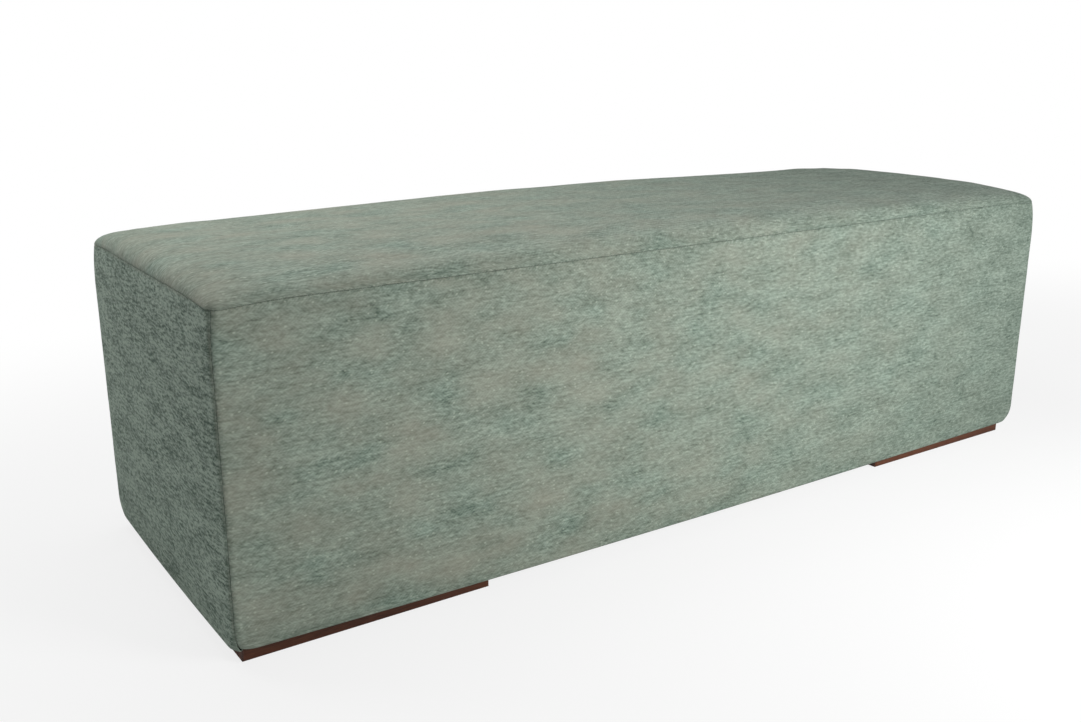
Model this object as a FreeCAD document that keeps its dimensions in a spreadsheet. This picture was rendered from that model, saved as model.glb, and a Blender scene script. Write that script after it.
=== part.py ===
import FreeCAD, Part
import math
import os
import re
import Sketcher

# Long upholstered pouf: a jointed softwood frame with a plywood seat deck, skinned in hardboard,
# padded with foam and wadding, in a sewn cover of five panels, on two low hardwood plinths.
# X runs along the length, Y from front to back, Z up. The origin is on the floor under the middle.

Vector = FreeCAD.Vector

# Driving sizes in millimetres: alias, value, what it is.
SIZES = [
    ("length", 1400, "covered block, end to end"),
    ("depth", 475, "covered block, front to back"),
    ("side_height", 387, "lower edge of the cover up to the top seam"),
    ("crown_rise", 26, "top seam up to the flat of the seat"),
    ("crown_run", 80, "seam in to where the seat is flat"),
    ("shoulder_rise", 20, "height of the rounded shoulder over the seam"),
    ("shoulder_run", 22, "width of the rounded shoulder"),
    ("corner_growth", 0.15, "corner radius gained per millimetre in from the seam"),
    ("side_radius", 10, "upright corners at half height, seen from above"),
    ("seam_radius", 22, "upright corners at the top seam"),
    ("foot_radius", 18, "upright corners at the lower edge"),
    ("seam_tuck", 4, "how far the sides are drawn in at the top seam"),
    ("foot_tuck", 2, "how far the sides are drawn in at the lower edge"),
    ("lean_height", 50, "height over which the sides lean in below the seam"),
    ("foot_round", 12, "height over which the sides turn in at the lower edge"),
    ("cover_thick", 1.5, "woven cover with its backing"),
    ("hem_width", 30, "cover turned under the frame and stapled"),
    ("side_foam", 12, "foam on the four sides"),
    ("wadding_thick", 8, "wadding round the seat foam"),
    ("foam_thick", 55, "seat foam"),
    ("deck_thick", 12, "plywood under the seat foam"),
    ("vent_diameter", 30, "air holes in the deck"),
    ("vent_pitch", 660, "air holes, along the length"),
    ("vent_spread", 180, "air holes, front to back"),
    ("skin_thick", 3, "hardboard on the frame's sides"),
    ("board_width", 45, "frame boards, wide face"),
    ("board_thick", 22, "frame boards, edge"),
    ("post_count", 5, "posts on each long side"),
    ("tenon_long", 12, "stub tenons and tongues"),
    ("tenon_width", 29, "stub tenons across the board"),
    ("tenon_thick", 8, "stub tenons and tongues"),
    ("joint_slack", 0.2, "play round each tenon"),
    ("block_leg", 50, "short sides of the corner blocks"),
    ("block_play", 0.2, "glue line round each corner block"),
    ("dust_thick", 0.8, "dust cloth under the frame"),
    ("dust_inset", 10, "dust cloth in from the block's outline"),
    ("plinth_height", 20, "hardwood plinth boards"),
    ("plinth_length", 320, "each plinth along the pouf"),
    ("plinth_front_inset", 18, "plinth in from the cover's front and back"),
    ("plinth_end_inset", 14, "plinth in from the cover's end"),
    ("plinth_board", 70, "long plinth boards, front to back"),
    ("plinth_cross", 60, "cross plinth boards, along the pouf"),
    ("tongue_width", 40, "tongues across the cross plinth boards"),
    ("plinth_edge", 1.5, "chamfer of the plinth's visible edges"),
    ("felt_thick", 2, "felt glides"),
    ("felt_width", 30, "felt glides, each side of the square"),
    ("felt_inset", 25, "glide centres in from the plinth's corners"),
    ("staple_count", 7, "deck staples along each rail"),
    ("staple_crown", 11, "deck staples, outside the legs"),
    ("staple_wire", 1.2, "deck staples, square wire"),
    ("staple_leg", 28, "deck staples, crown to points"),
    ("staple_slack", 0.1, "play round each staple"),
    ("plinth_screw_long", 40, "plinth screws"),
    ("plinth_screw_shank", 5, "plinth screws, diameter"),
    ("plinth_screw_head", 10, "plinth screws, head diameter"),
    ("plinth_screw_pitch", 200, "screws along each plinth board"),
    ("screw_slack", 0.1, "play round each screw"),
    ("overcut", 20, "how far cutting shapes reach past what they cut"),
]

# Sizes that follow from the ones above: alias, formula, what it is.
DERIVED = [
    ("base", "felt_thick + plinth_height", "underside of the dust cloth"),
    ("cover_bottom", "base + dust_thick", "underside of the hems"),
    ("frame_bottom", "cover_bottom + cover_thick", "underside of the frame"),
    ("seam_level", "base + side_height", "top seam"),
    ("foam_top", "seam_level + shoulder_rise - cover_thick - wadding_thick", "top of the seat foam"),
    ("foam_bottom", "foam_top - foam_thick", "top of the deck"),
    ("deck_bottom", "foam_bottom - deck_thick", "top of the frame"),
    ("core_length", "length - 2 * (cover_thick + side_foam)", "frame with its skins"),
    ("core_depth", "depth - 2 * (cover_thick + side_foam)", "frame with its skins"),
    ("frame_length", "core_length - 2 * skin_thick", "frame, end to end"),
    ("frame_depth", "core_depth - 2 * skin_thick", "frame, front to back"),
    ("post_height", "deck_bottom - frame_bottom - 2 * board_thick", "posts between the rails"),
    ("post_span", "frame_length - board_width", "first post to last post"),
    ("rail_line", "(frame_depth - board_width) / 2", "middle of a rail from the centre line"),
    ("bar_length", "frame_depth - 2 * board_width", "cross bars between the rails"),
    ("mitre", "(length - depth) / 2", "where the corner planes meet the centre line"),
    ("plinth_depth", "depth - 2 * plinth_front_inset", "plinths, front to back"),
    ("plinth_middle", "(length - plinth_length) / 2 - plinth_end_inset", "middle of a plinth"),
    ("plinth_line", "(plinth_depth - plinth_board) / 2", "middle of a long plinth board"),
    ("cross_line", "(plinth_length - plinth_cross) / 2", "middle of a cross plinth board"),
]

doc = FreeCAD.newDocument("Pouf")
sheet = doc.addObject("Spreadsheet::Sheet", "Sizes")
for row, (alias, value, note) in enumerate(SIZES + DERIVED, 1):
    text = str(value) if (alias, value, note) in SIZES else "=" + value
    sheet.set(f"A{row}", note)
    sheet.set(f"B{row}", text)
    sheet.setAlias(f"B{row}", alias)
doc.recompute()
ALIASES = {entry[0] for entry in SIZES + DERIVED}
subparts = []


def sized(text):
    """The expression with the sheet's name put before each of its aliases."""
    return re.sub(r"[a-z_]+", lambda word: "Sizes." + word[0] if word[0] in ALIASES else word[0], str(text))


def number(text):
    """The expression's value with the sheet as it stands."""
    return float(sheet.evalExpression(sized(text)))


def origin_part(body, role):
    """A plane or axis of the body's own origin."""
    return next(part for part in body.Origin.OriginFeatures if part.Role == role)


def new_body(label):
    body = doc.addObject("PartDesign::Body", label)
    body.Label = label
    return body


def keep(item, label, x="0", y="0", z="0", turned=False):
    """Name a finished sub-part and set it in its place, turned end for end where asked."""
    item.Label = label
    if turned:
        item.Placement = FreeCAD.Placement(Vector(), FreeCAD.Rotation(Vector(0, 0, 1), 180))
    for axis, place in zip("xyz", (x, y, z)):
        if str(place) != "0":
            item.setExpression(f"Placement.Base.{axis}", sized(place))
    subparts.append(item)


def new_sketch(body, name, level="0", role="XY_Plane"):
    """An empty sketch on one of the body's own planes, at a level over it."""
    sketch = body.newObject("Sketcher::SketchObject", name)
    sketch.AttachmentSupport = [(origin_part(body, role), "")]
    sketch.MapMode = "FlatFace"
    if str(level) != "0":
        sketch.setExpression("AttachmentOffset.Base.z", sized(level))
    return sketch


def bind(sketch, kind, *rest):
    """Add a dimension whose value, the last argument, is an expression."""
    index = sketch.addConstraint(Sketcher.Constraint(kind, *rest[:-1], number(rest[-1])))
    sketch.setExpression(f"Constraints[{index}]", sized(rest[-1]))


def fix_point(sketch, edge, end, x, y):
    bind(sketch, "DistanceX", -1, 1, edge, end, x)
    bind(sketch, "DistanceY", -1, 1, edge, end, y)


def add_outline(sketch, corners):
    """A closed outline of straight edges whose corners are pairs of expressions."""
    first = sketch.GeometryCount
    places = [Vector(number(x), number(y), 0) for x, y in corners]
    for start, end in zip(places, places[1:] + places[:1]):
        sketch.addGeometry(Part.LineSegment(start, end), False)
    for index, (x, y) in enumerate(corners):
        before = first + (index - 1) % len(corners)
        sketch.addConstraint(Sketcher.Constraint("Coincident", before, 2, first + index, 1))
        fix_point(sketch, first + index, 1, x, y)


def add_rectangle(sketch, left, front, right, back):
    add_outline(sketch, [(left, front), (right, front), (right, back), (left, back)])


def add_circle(sketch, diameter, x, y):
    ring = sketch.addGeometry(Part.Circle(Vector(number(x), number(y), 0), Vector(0, 0, 1), 1), False)
    bind(sketch, "Diameter", ring, diameter)
    fix_point(sketch, ring, 3, x, y)


def centred(size):
    """The two ends of a size set evenly about zero."""
    return f"-({size}) / 2", f"({size}) / 2"


def rectangle_sketch(body, name, level, wide, deep, x="0", y="0"):
    """A sketch of one rectangle of a given width and depth about a centre."""
    sketch = new_sketch(body, name, level)
    left, right = (f"{x} + {end}" for end in centred(wide))
    front, back = (f"{y} + {end}" for end in centred(deep))
    add_rectangle(sketch, left, front, right, back)
    return sketch


def extrude(body, kind, name, sketch, height):
    """A Pad upwards or a Pocket downwards from a sketch."""
    feature = body.newObject("PartDesign::" + kind, name)
    feature.Profile = sketch
    feature.setExpression("Length", sized(height))
    body.Tip = feature
    return feature


def repeat(body, name, originals, span, count, span_across=None):
    """Copies along the length and, where asked, one more row from front to back."""
    pattern = body.newObject("PartDesign::LinearPattern", name)
    pattern.Originals = originals
    pattern.Direction = (origin_part(body, "X_Axis"), [""])
    pattern.setExpression("Length", sized(span))
    pattern.setExpression("Occurrences", sized(count))
    if span_across:
        pattern.Direction2 = (origin_part(body, "Y_Axis"), [""])
        pattern.setExpression("Length2", sized(span_across))
        pattern.Occurrences2 = 2
    body.Tip = pattern
    return pattern


# Forms of the upholstery

def rounded_section(body, name, level, inset, radius):
    """A level section of the block: its outline less an inset, with rounded corners."""
    sketch = new_sketch(body, name, level)
    half_length, half_depth = f"length / 2 - ({inset})", f"depth / 2 - ({inset})"
    a, b, r = number(half_length), number(half_depth), number(radius)
    starts = [(r - a, -b), (a, r - b), (a - r, b), (-a, b - r)]
    ends = [(a - r, -b), (a, b - r), (r - a, b), (-a, r - b)]
    for start, end in zip(starts, ends):
        sketch.addGeometry(Part.LineSegment(Vector(*start, 0), Vector(*end, 0)), False)
    middles = [(a - r, r - b), (a - r, b - r), (r - a, b - r), (r - a, r - b)]
    for turn, middle in zip((-90, 0, 90, 180), middles):
        ring = Part.Circle(Vector(*middle, 0), Vector(0, 0, 1), r)
        sketch.addGeometry(Part.ArcOfCircle(ring, math.radians(turn), math.radians(turn + 90)), False)
    for side in range(4):
        sketch.addConstraint(Sketcher.Constraint("Tangent", side, 2, 4 + side, 1))
        sketch.addConstraint(Sketcher.Constraint("Tangent", 4 + side, 2, (side + 1) % 4, 1))
        sketch.addConstraint(Sketcher.Constraint(("Horizontal", "Vertical")[side % 2], side))
    for corner in (5, 6, 7):
        sketch.addConstraint(Sketcher.Constraint("Equal", 4, corner))
    bind(sketch, "Radius", 4, radius)
    bind(sketch, "DistanceX", -1, 1, 1, 1, half_length)
    bind(sketch, "DistanceX", 3, 1, -1, 1, half_length)
    bind(sketch, "DistanceY", 0, 1, -1, 1, half_depth)
    bind(sketch, "DistanceY", -1, 1, 2, 1, half_depth)
    return sketch


def loft(label, sections):
    """A body lofted through level sections: each a level, an inset and a corner radius."""
    body = new_body(label)
    sketches = [rounded_section(body, f"{label}_{i}", *each) for i, each in enumerate(sections)]
    feature = body.newObject("PartDesign::AdditiveLoft", label + "_loft")
    feature.Profile = sketches[0]
    feature.Sections = sketches[1:]
    feature.Ruled = True
    body.Tip = feature
    return body


def foot_sections(within, start):
    """Sides turned in at the lower edge, from a start level to half height."""
    half_height = f"({start} + seam_level - lean_height) / 2"
    sections = []
    for level, share in ((start, 1), (f"{start} + foot_round", 0.15), (half_height, 0)):
        radius = f"side_radius + {share} * (foot_radius - side_radius) - {within}"
        sections.append((level, f"{share} * foot_tuck + {within}", radius))
    return sections


def lean_sections(within, shares):
    """Sides leaning in towards the top seam, at shares of the lean's height below it."""
    sections = []
    for below in shares:
        share = f"{(1 - below) ** 2:.4f}"
        radius = f"side_radius + {share} * (seam_radius - side_radius) - {within}"
        sections.append((f"seam_level - {below} * lean_height", f"{share} * seam_tuck + {within}", radius))
    return sections


def side_sections(within, start):
    """Drawn-in sides from a start level up to the seam, a distance within the cover's outside."""
    return foot_sections(within, start) + lean_sections(within, (1, 0.4, 0))


def shoulder_sections(within, angles):
    """Rounded shoulder over the seam, at angles from upright to flat."""
    sections = []
    for angle in angles:
        run, rise = 1 - math.cos(math.radians(angle)), math.sin(math.radians(angle))
        level = f"seam_level + {rise:.4f} * (shoulder_rise - {within})"
        inset = f"seam_tuck + {run:.4f} * shoulder_run + {1 - run:.4f} * {within}"
        radius = f"seam_radius + {run:.4f} * corner_growth * shoulder_run - {1 - run:.4f} * {within}"
        sections.append((level, inset, radius))
    return sections


def crown(label, within):
    """The puffed top: a rounded shoulder over the seam, then a gentle crown in to the flat of the seat."""
    radius = "seam_radius + corner_growth * crown_run"
    flat = (f"seam_level + crown_rise - {within}", "seam_tuck + crown_run", radius)
    return loft(label, shoulder_sections(within, (0, 28, 56, 80)) + [flat])


def prism(label, corners, bottom, height):
    """A straight-sided block on a plan of corners."""
    body = new_body(label)
    sketch = new_sketch(body, label + "_plan", bottom)
    add_outline(sketch, corners)
    extrude(body, "Pad", label + "_pad", sketch, height)
    return body


def combine(kind, name, base, tool):
    result = doc.addObject("Part::" + kind, name)
    result.Base = base
    result.Tool = tool
    return result


SIDES = ("front", "back", "left", "right")


def side_plan(side, inner_x, inner_y):
    """Plan of one side of a ring round the block, between the 45 degree planes at its corners."""
    x, y = "(length / 2 + overcut)", "(depth / 2 + overcut)"
    sign = "-" if side in ("front", "left") else ""
    if side in ("front", "back"):
        outer = [("-" + x, sign + y), (x, sign + y)]
        return outer + [(inner_x, sign + inner_y), ("-" + inner_x, sign + inner_y)]
    outer = [(sign + x, "-" + y), (sign + x, y)]
    return outer + [(sign + inner_x, inner_y), (sign + inner_x, "-" + inner_y)]


def plinth_screw_places():
    """Screw centres of both plinths, on the middle line of the bottom rails."""
    return [
        (f"{end} * plinth_middle + {step} * plinth_screw_pitch / 2", f"{row} * rail_line")
        for end in (-1, 1) for step in (-1, 1) for row in (-1, 1)
    ]


def hem_holes():
    """Clear holes for the plinth screws through the hems."""
    body = new_body("HemHoles")
    sketch = new_sketch(body, "HemHolesPlan", "cover_bottom - overcut")
    for x, y in plinth_screw_places():
        add_circle(sketch, "plinth_screw_shank + 2 * screw_slack", x, y)
    extrude(body, "Pad", "HemHolesPad", sketch, "cover_thick + 2 * overcut")
    return body


def hem_opening():
    """Ground left free between the hems."""
    body = new_body("HemOpening")
    sketch = rectangle_sketch(body, "HemOpeningPlan", "cover_bottom - overcut",
                              "length - 2 * (foot_tuck + hem_width)", "depth - 2 * (foot_tuck + hem_width)")
    extrude(body, "Pad", "HemOpeningPad", sketch, "cover_thick + 2 * overcut")
    return body


def make_cover():
    """Sewn cover: one crowned top panel, and four side panels with hems turned under the frame."""
    top = combine("Cut", "CrownShell", crown("CrownOutside", "0"), crown("CrownInside", "cover_thick"))
    keep(top, "cover_top")
    tube = combine("Cut", "SideShell", loft("SideOutside", side_sections("0", "cover_bottom")), padding)
    opened = combine("Cut", "OpenedShell", tube, hem_opening())
    pierced = combine("Cut", "PiercedShell", opened, hem_holes())
    for side in SIDES:
        plan = side_plan(side, "mitre", "0")
        if side in ("left", "right"):
            plan = plan[:3]
        ground = prism(f"CoverCut_{side}", plan, "cover_bottom - overcut", "side_height + 2 * overcut")
        keep(combine("Common", f"Cover_{side}", pierced, ground), "cover_" + side)


def make_side_foam():
    """Foam sheets glued to the skins, mitred at the corners, out to the inside of the cover."""
    for side in SIDES:
        plan = side_plan(side, "core_length / 2", "core_depth / 2")
        strip = prism(f"FoamCut_{side}", plan, "frame_bottom", "foam_bottom - frame_bottom")
        keep(combine("Common", f"SideFoam_{side}", padding, strip), "side_foam_" + side)


def make_seat():
    """Seat foam with rounded edges, and the wadding that wraps its sides and builds up the crown."""
    within = "(cover_thick + wadding_thick)"
    flank = ("foam_bottom", within, f"side_radius - 0.5 * {within}")
    sections = [flank] + lean_sections(within, (0.4,)) + shoulder_sections(within, (0, 45, 90))
    foam = loft("SeatFoam", sections)
    keep(foam, "seat_foam")
    upper = new_body("AboveDeck")
    sketch = rectangle_sketch(upper, "AboveDeckPlan", "foam_bottom", "length + overcut", "depth + overcut")
    extrude(upper, "Pad", "AboveDeckPad", sketch, "seam_level - foam_bottom")
    flanks = combine("Common", "WaddingFlanks", padding, upper)
    whole = combine("Fuse", "WaddingWhole", flanks, crown("WaddingCrown", "cover_thick"))
    keep(combine("Cut", "SeatWadding", whole, foam), "seat_wadding")


# Frame

def make_rails():
    """Four long rails with mortises for the posts and the cross bars, and pilot holes for screws."""
    for level, top in (("frame_bottom", False), ("deck_bottom - board_thick", True)):
        name = "top_rail" if top else "bottom_rail"
        for side in ("front", "back"):
            body = new_body(f"{name}_{side}")
            board = rectangle_sketch(body, "Board", "0", "frame_length", "board_width")
            extrude(body, "Pad", "BoardPad", board, "board_thick")
            post_mortise = rectangle_sketch(
                body, "PostMortise", "tenon_long + joint_slack" if top else "board_thick",
                "tenon_width + 2 * joint_slack", "tenon_thick + 2 * joint_slack",
                "-post_span / 2", "(board_thick - board_width) / 2")
            bar_mortise = rectangle_sketch(
                body, "BarMortise", "(board_thick + tenon_thick) / 2 + joint_slack",
                "tenon_width + 2 * joint_slack", "tenon_long + joint_slack",
                "-post_span / 2", "(board_width - tenon_long - joint_slack) / 2")
            if not top:
                grip = "plinth_screw_long - plinth_height - dust_thick - cover_thick + screw_slack"
                pilot = new_sketch(body, "PlinthPilot", grip)
                for x, y in plinth_screw_places()[::2]:
                    add_circle(pilot, "plinth_screw_shank + 2 * screw_slack", x, "0")
                extrude(body, "Pocket", "PlinthPilotCut", pilot, grip)
            cuts = [
                extrude(body, "Pocket", "PostMortiseCut", post_mortise, "tenon_long + joint_slack"),
                extrude(body, "Pocket", "BarMortiseCut", bar_mortise, "tenon_thick + 2 * joint_slack"),
            ]
            repeat(body, "JointPattern", cuts, "post_span", "post_count")
            if top:
                depth = "staple_leg - deck_thick + staple_slack"
                slots = leg_slots(body, "board_thick", "-post_span / 2", "0", depth)
                repeat(body, "SlotPattern", [slots], "post_span", "staple_count")
            keep(body, f"{name}_{side}", y="-rail_line" if side == "front" else "rail_line",
                 z=level, turned=side == "back")


def tenoned_bar(label, long, wide, thick, tenon, x, y, z):
    """A board from front to back with a stub tenon at each end."""
    body = new_body(label)
    board = rectangle_sketch(body, "Board", "0", wide, long)
    extrude(body, "Pad", "BoardPad", board, thick)
    under_tenon = f"({thick} - tenon_thick) / 2"
    core = rectangle_sketch(body, "Tenon", under_tenon, tenon, f"{long} + 2 * tenon_long")
    extrude(body, "Pad", "TenonPad", core, "tenon_thick")
    keep(body, label, x, y, z)


def make_bars_and_posts():
    """Cross bars between the rails and posts between the two ladders, at the same stations."""
    count = int(number("post_count"))
    for station in range(count):
        x = f"({station} / (post_count - 1) - 0.5) * post_span"
        for name, level in (("bottom_bar", "frame_bottom"), ("top_bar", "deck_bottom - board_thick")):
            tenoned_bar(f"{name}_{station + 1}", "bar_length", "board_width", "board_thick", "tenon_width",
                        x, "0", level)
        for side, sign in (("front", "-"), ("back", "")):
            label = f"post_{side}_{station + 1}"
            body = new_body(label)
            board = rectangle_sketch(body, "Board", "0", "board_width", "board_thick")
            extrude(body, "Pad", "BoardPad", board, "post_height")
            core = rectangle_sketch(body, "Tenon", "-tenon_long", "tenon_width", "tenon_thick")
            extrude(body, "Pad", "TenonPad", core, "post_height + 2 * tenon_long")
            keep(body, label, x, f"{sign}(frame_depth - board_thick) / 2", "frame_bottom + board_thick")


def make_corner_blocks():
    """Triangular blocks glued into the corners of the lower and the upper ladder."""
    body = new_body("corner_blocks")
    sketch = new_sketch(body, "BlockPlans")
    for x_sign in ("-", ""):
        for y_sign in ("-", ""):
            x, y = "(frame_length / 2 - board_width - block_play)", "(bar_length / 2 - block_play)"
            add_outline(sketch, [
                (x_sign + x, y_sign + y),
                (f"{x_sign}({x} - block_leg)", y_sign + y),
                (x_sign + x, f"{y_sign}({y} - block_leg)"),
            ])
    blocks = extrude(body, "Pad", "Blocks", sketch, "board_thick")
    pattern = body.newObject("PartDesign::LinearPattern", "BothLadders")
    pattern.Originals = [blocks]
    pattern.Direction = (origin_part(body, "Z_Axis"), [""])
    pattern.setExpression("Length", sized("post_height + board_thick"))
    pattern.Occurrences = 2
    body.Tip = pattern
    keep(body, "corner_blocks", z="frame_bottom")


def make_skins():
    """Hardboard sheets on the frame: the long ones cover the edges of the short ones."""
    for side in SIDES:
        body = new_body("skin_" + side)
        along = side in ("front", "back")
        sheet_plan = rectangle_sketch(body, "Sheet", "0", "core_length" if along else "skin_thick",
                                      "skin_thick" if along else "frame_depth")
        extrude(body, "Pad", "SheetPad", sheet_plan, "deck_bottom - frame_bottom")
        sign = "-" if side in ("front", "left") else ""
        place = f"{sign}(frame_{'depth' if along else 'length'} + skin_thick) / 2"
        keep(body, "skin_" + side, "0" if along else place, place if along else "0", "frame_bottom")


def leg_slots(body, level, x, y, depth):
    """A pair of slots for a staple's legs, cut down from a level."""
    sketch = new_sketch(body, "LegSlots", level)
    wire = "staple_wire + 2 * staple_slack"
    front, back = (f"{y} + {edge}" for edge in centred(wire))
    for step in (-1, 1):
        leg = f"{x} + {step} * (staple_crown - staple_wire) / 2"
        left, right = (f"{leg} + {edge}" for edge in centred(wire))
        add_rectangle(sketch, left, front, right, back)
    return extrude(body, "Pocket", "LegSlotCut", sketch, depth)


def make_deck():
    """Plywood deck with air holes, stapled down to the rails with the crowns driven flush."""
    body = new_body("seat_deck")
    board = rectangle_sketch(body, "Board", "0", "core_length", "core_depth")
    extrude(body, "Pad", "BoardPad", board, "deck_thick")
    vent = new_sketch(body, "Vent", "deck_thick")
    add_circle(vent, "vent_diameter", "-vent_pitch / 2", "-vent_spread / 2")
    vent_cut = extrude(body, "Pocket", "VentCut", vent, "deck_thick")
    repeat(body, "Vents", [vent_cut], "vent_pitch", "2", "vent_spread")
    groove = rectangle_sketch(body, "CrownGroove", "deck_thick", "staple_crown + 2 * staple_slack",
                              "staple_wire + 2 * staple_slack", "-post_span / 2", "-rail_line")
    cuts = [
        extrude(body, "Pocket", "CrownGrooveCut", groove, "staple_wire"),
        leg_slots(body, "deck_thick", "-post_span / 2", "-rail_line", "deck_thick"),
    ]
    repeat(body, "StapleSlots", cuts, "post_span", "staple_count", "2 * rail_line")
    keep(body, "seat_deck", z="deck_bottom")
    staples = new_body("deck_staples")
    crown = rectangle_sketch(staples, "Crown", "-staple_wire", "staple_crown", "staple_wire")
    crown_pad = extrude(staples, "Pad", "CrownPad", crown, "staple_wire")
    legs = new_sketch(staples, "Legs", "-staple_leg")
    for step in (-1, 1):
        leg = f"{step} * (staple_crown - staple_wire) / 2"
        left, right = (f"{leg} + {edge}" for edge in centred("staple_wire"))
        add_rectangle(legs, left, "-staple_wire / 2", right, "staple_wire / 2")
    leg_pad = extrude(staples, "Pad", "LegPad", legs, "staple_leg - staple_wire")
    repeat(staples, "StapleRows", [crown_pad, leg_pad], "post_span", "staple_count", "2 * rail_line")
    keep(staples, "deck_staples", "-post_span / 2", "-rail_line", "foam_bottom")


# Underside

def make_dust_cover():
    """Thin black cloth stapled over the hems, slit where the plinth screws pass."""
    body = new_body("dust_cover")
    sketch = rectangle_sketch(body, "Cloth", "0", "length - 2 * dust_inset", "depth - 2 * dust_inset")
    for x, y in plinth_screw_places():
        left, right = (f"{x} + {edge}" for edge in centred("plinth_screw_shank + 2 * screw_slack"))
        front, back = (f"{y} + {edge}" for edge in centred("plinth_screw_shank + 2 * screw_slack"))
        add_rectangle(sketch, left, front, right, back)
    extrude(body, "Pad", "ClothPad", sketch, "dust_thick")
    keep(body, "dust_cover", z="base")


def outer_edges(shape, y):
    """Names of the long lower edge and the two upright edges on a board's outer face."""
    names = []
    for index, edge in enumerate(shape.Edges, 1):
        box = edge.BoundBox
        on_face = abs(box.YMin - y) < 0.01 and abs(box.YMax - y) < 0.01
        if on_face and (box.ZMax < 0.01 or box.ZLength > 1):
            names.append(f"Edge{index}")
    return names


def countersunk_holes(body, sketch):
    """Clearance holes for the plinth screws, countersunk from below, right through a board."""
    hole = body.newObject("PartDesign::Hole", "ScrewHoles")
    hole.Profile = sketch
    doc.recompute()
    hole.Threaded = False
    hole.DepthType = "ThroughAll"
    hole.HoleCutType = "Countersink"
    hole.HoleCutCustomValues = True
    hole.HoleCutCountersinkAngle = 90
    hole.setExpression("Diameter", sized("plinth_screw_shank + 2 * screw_slack"))
    hole.setExpression("HoleCutDiameter", sized("plinth_screw_head + 2 * screw_slack"))
    hole.Reversed = True
    body.Tip = hole
    return hole


def plinth_long_board(label, middle, side):
    """A long plinth board, mortised for the cross boards, its outer edges eased."""
    body = new_body(label)
    board = rectangle_sketch(body, "Board", "0", "plinth_length", "plinth_board")
    extrude(body, "Pad", "BoardPad", board, "plinth_height")
    mortise = new_sketch(body, "Mortise", "(plinth_height + tenon_thick) / 2 + joint_slack")
    inner = "plinth_board / 2"
    for step in (-1, 1):
        left, right = (f"{step} * cross_line + {edge}" for edge in centred("tongue_width + 2 * joint_slack"))
        add_rectangle(mortise, left, inner + " - tenon_long - joint_slack", right, inner)
    extrude(body, "Pocket", "MortiseCut", mortise, "tenon_thick + 2 * joint_slack")
    holes = new_sketch(body, "ScrewHole")
    for step in (-1, 1):
        add_circle(holes, "plinth_screw_shank + 2 * screw_slack",
                   f"{step} * plinth_screw_pitch / 2", "plinth_line - rail_line")
    doc.recompute()
    hole = countersunk_holes(body, holes)
    doc.recompute()
    easing = body.newObject("PartDesign::Chamfer", "EasedEdge")
    easing.Base = (hole, outer_edges(hole.Shape, -number("plinth_board") / 2))
    easing.setExpression("Size", sized("plinth_edge"))
    body.Tip = easing
    line = "-plinth_line" if side == "front" else "plinth_line"
    keep(body, label, middle, line, "felt_thick", turned=side == "back")


def plinth_screws(label, middle):
    """Countersunk screws up through both long boards of a plinth."""
    body = new_body(label)
    half = new_sketch(body, "Screw", role="XZ_Plane")
    head, shank = "plinth_screw_head / 2", "plinth_screw_shank / 2"
    add_outline(half, [("0", "0"), (head, "0"), (shank, f"{head} - {shank}"),
                       (shank, "plinth_screw_long"), ("0", "plinth_screw_long")])
    turned = body.newObject("PartDesign::Revolution", "ScrewTurned")
    turned.Profile = half
    turned.ReferenceAxis = (half, ["V_Axis"])
    turned.Angle = 360
    body.Tip = turned
    repeat(body, "ScrewRows", [turned], "plinth_screw_pitch", "2", "2 * rail_line")
    keep(body, label, f"{middle} - plinth_screw_pitch / 2", "-rail_line", "felt_thick")


def felt_glides(label, middle):
    """Square felt glides under the corners of a plinth."""
    body = new_body(label)
    sketch = new_sketch(body, "Glides")
    for x_sign in ("-", ""):
        for y_sign in ("-", ""):
            x, y = f"{x_sign}(plinth_length / 2 - felt_inset)", f"{y_sign}(plinth_depth / 2 - felt_inset)"
            left, right = (f"{x} + {edge}" for edge in centred("felt_width"))
            front, back = (f"{y} + {edge}" for edge in centred("felt_width"))
            add_rectangle(sketch, left, front, right, back)
    extrude(body, "Pad", "GlidePads", sketch, "felt_thick")
    keep(body, label, middle)


def make_plinths():
    """Two plinths, each of two long boards and two tongued cross boards, with screws and felt glides."""
    for end, outward in (("left", -1), ("right", 1)):
        middle = f"{outward} * plinth_middle"
        for side in ("front", "back"):
            plinth_long_board(f"plinth_{end}_{side}", middle, side)
        for name, step in (("outer", outward), ("inner", -outward)):
            tenoned_bar(f"plinth_{end}_{name}", "plinth_depth - 2 * plinth_board", "plinth_cross",
                        "plinth_height", "tongue_width", f"{middle} + {step} * cross_line", "0", "felt_thick")
        plinth_screws(f"plinth_screws_{end}", middle)
        felt_glides(f"felt_pads_{end}", middle)


def check_and_write():
    """Stop if anything failed to build or a cut removed nothing, then write each sub-part."""
    for item in doc.Objects:
        if {"Invalid", "Error"} & set(item.State):
            raise RuntimeError(f"{item.Label} failed: {item.State}")
        if item.TypeId in ("PartDesign::Pocket", "PartDesign::Hole"):
            removed = item.BaseFeature.Shape.Volume - item.Shape.Volume
            if removed < 1:
                raise RuntimeError(f"{item.Label} cut nothing")
    os.makedirs("parts", exist_ok=True)
    for item in subparts:
        if item.Shape.isNull() or not item.Shape.isValid():
            raise RuntimeError(f"{item.Label} has no valid shape")
        item.Shape.exportStep(f"parts/{item.Label}.step")
    print(len(subparts), "sub-parts written")


padding = loft("Padding", side_sections("cover_thick", "frame_bottom"))
make_cover()
make_side_foam()
make_seat()
make_rails()
make_bars_and_posts()
make_corner_blocks()
make_skins()
make_deck()
make_dust_cover()
make_plinths()
doc.recompute()
check_and_write()
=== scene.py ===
import math

import bmesh
import bpy
from bpy.props import FloatProperty, FloatVectorProperty, IntProperty, PointerProperty
from mathutils import Matrix, Vector, noise


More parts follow.
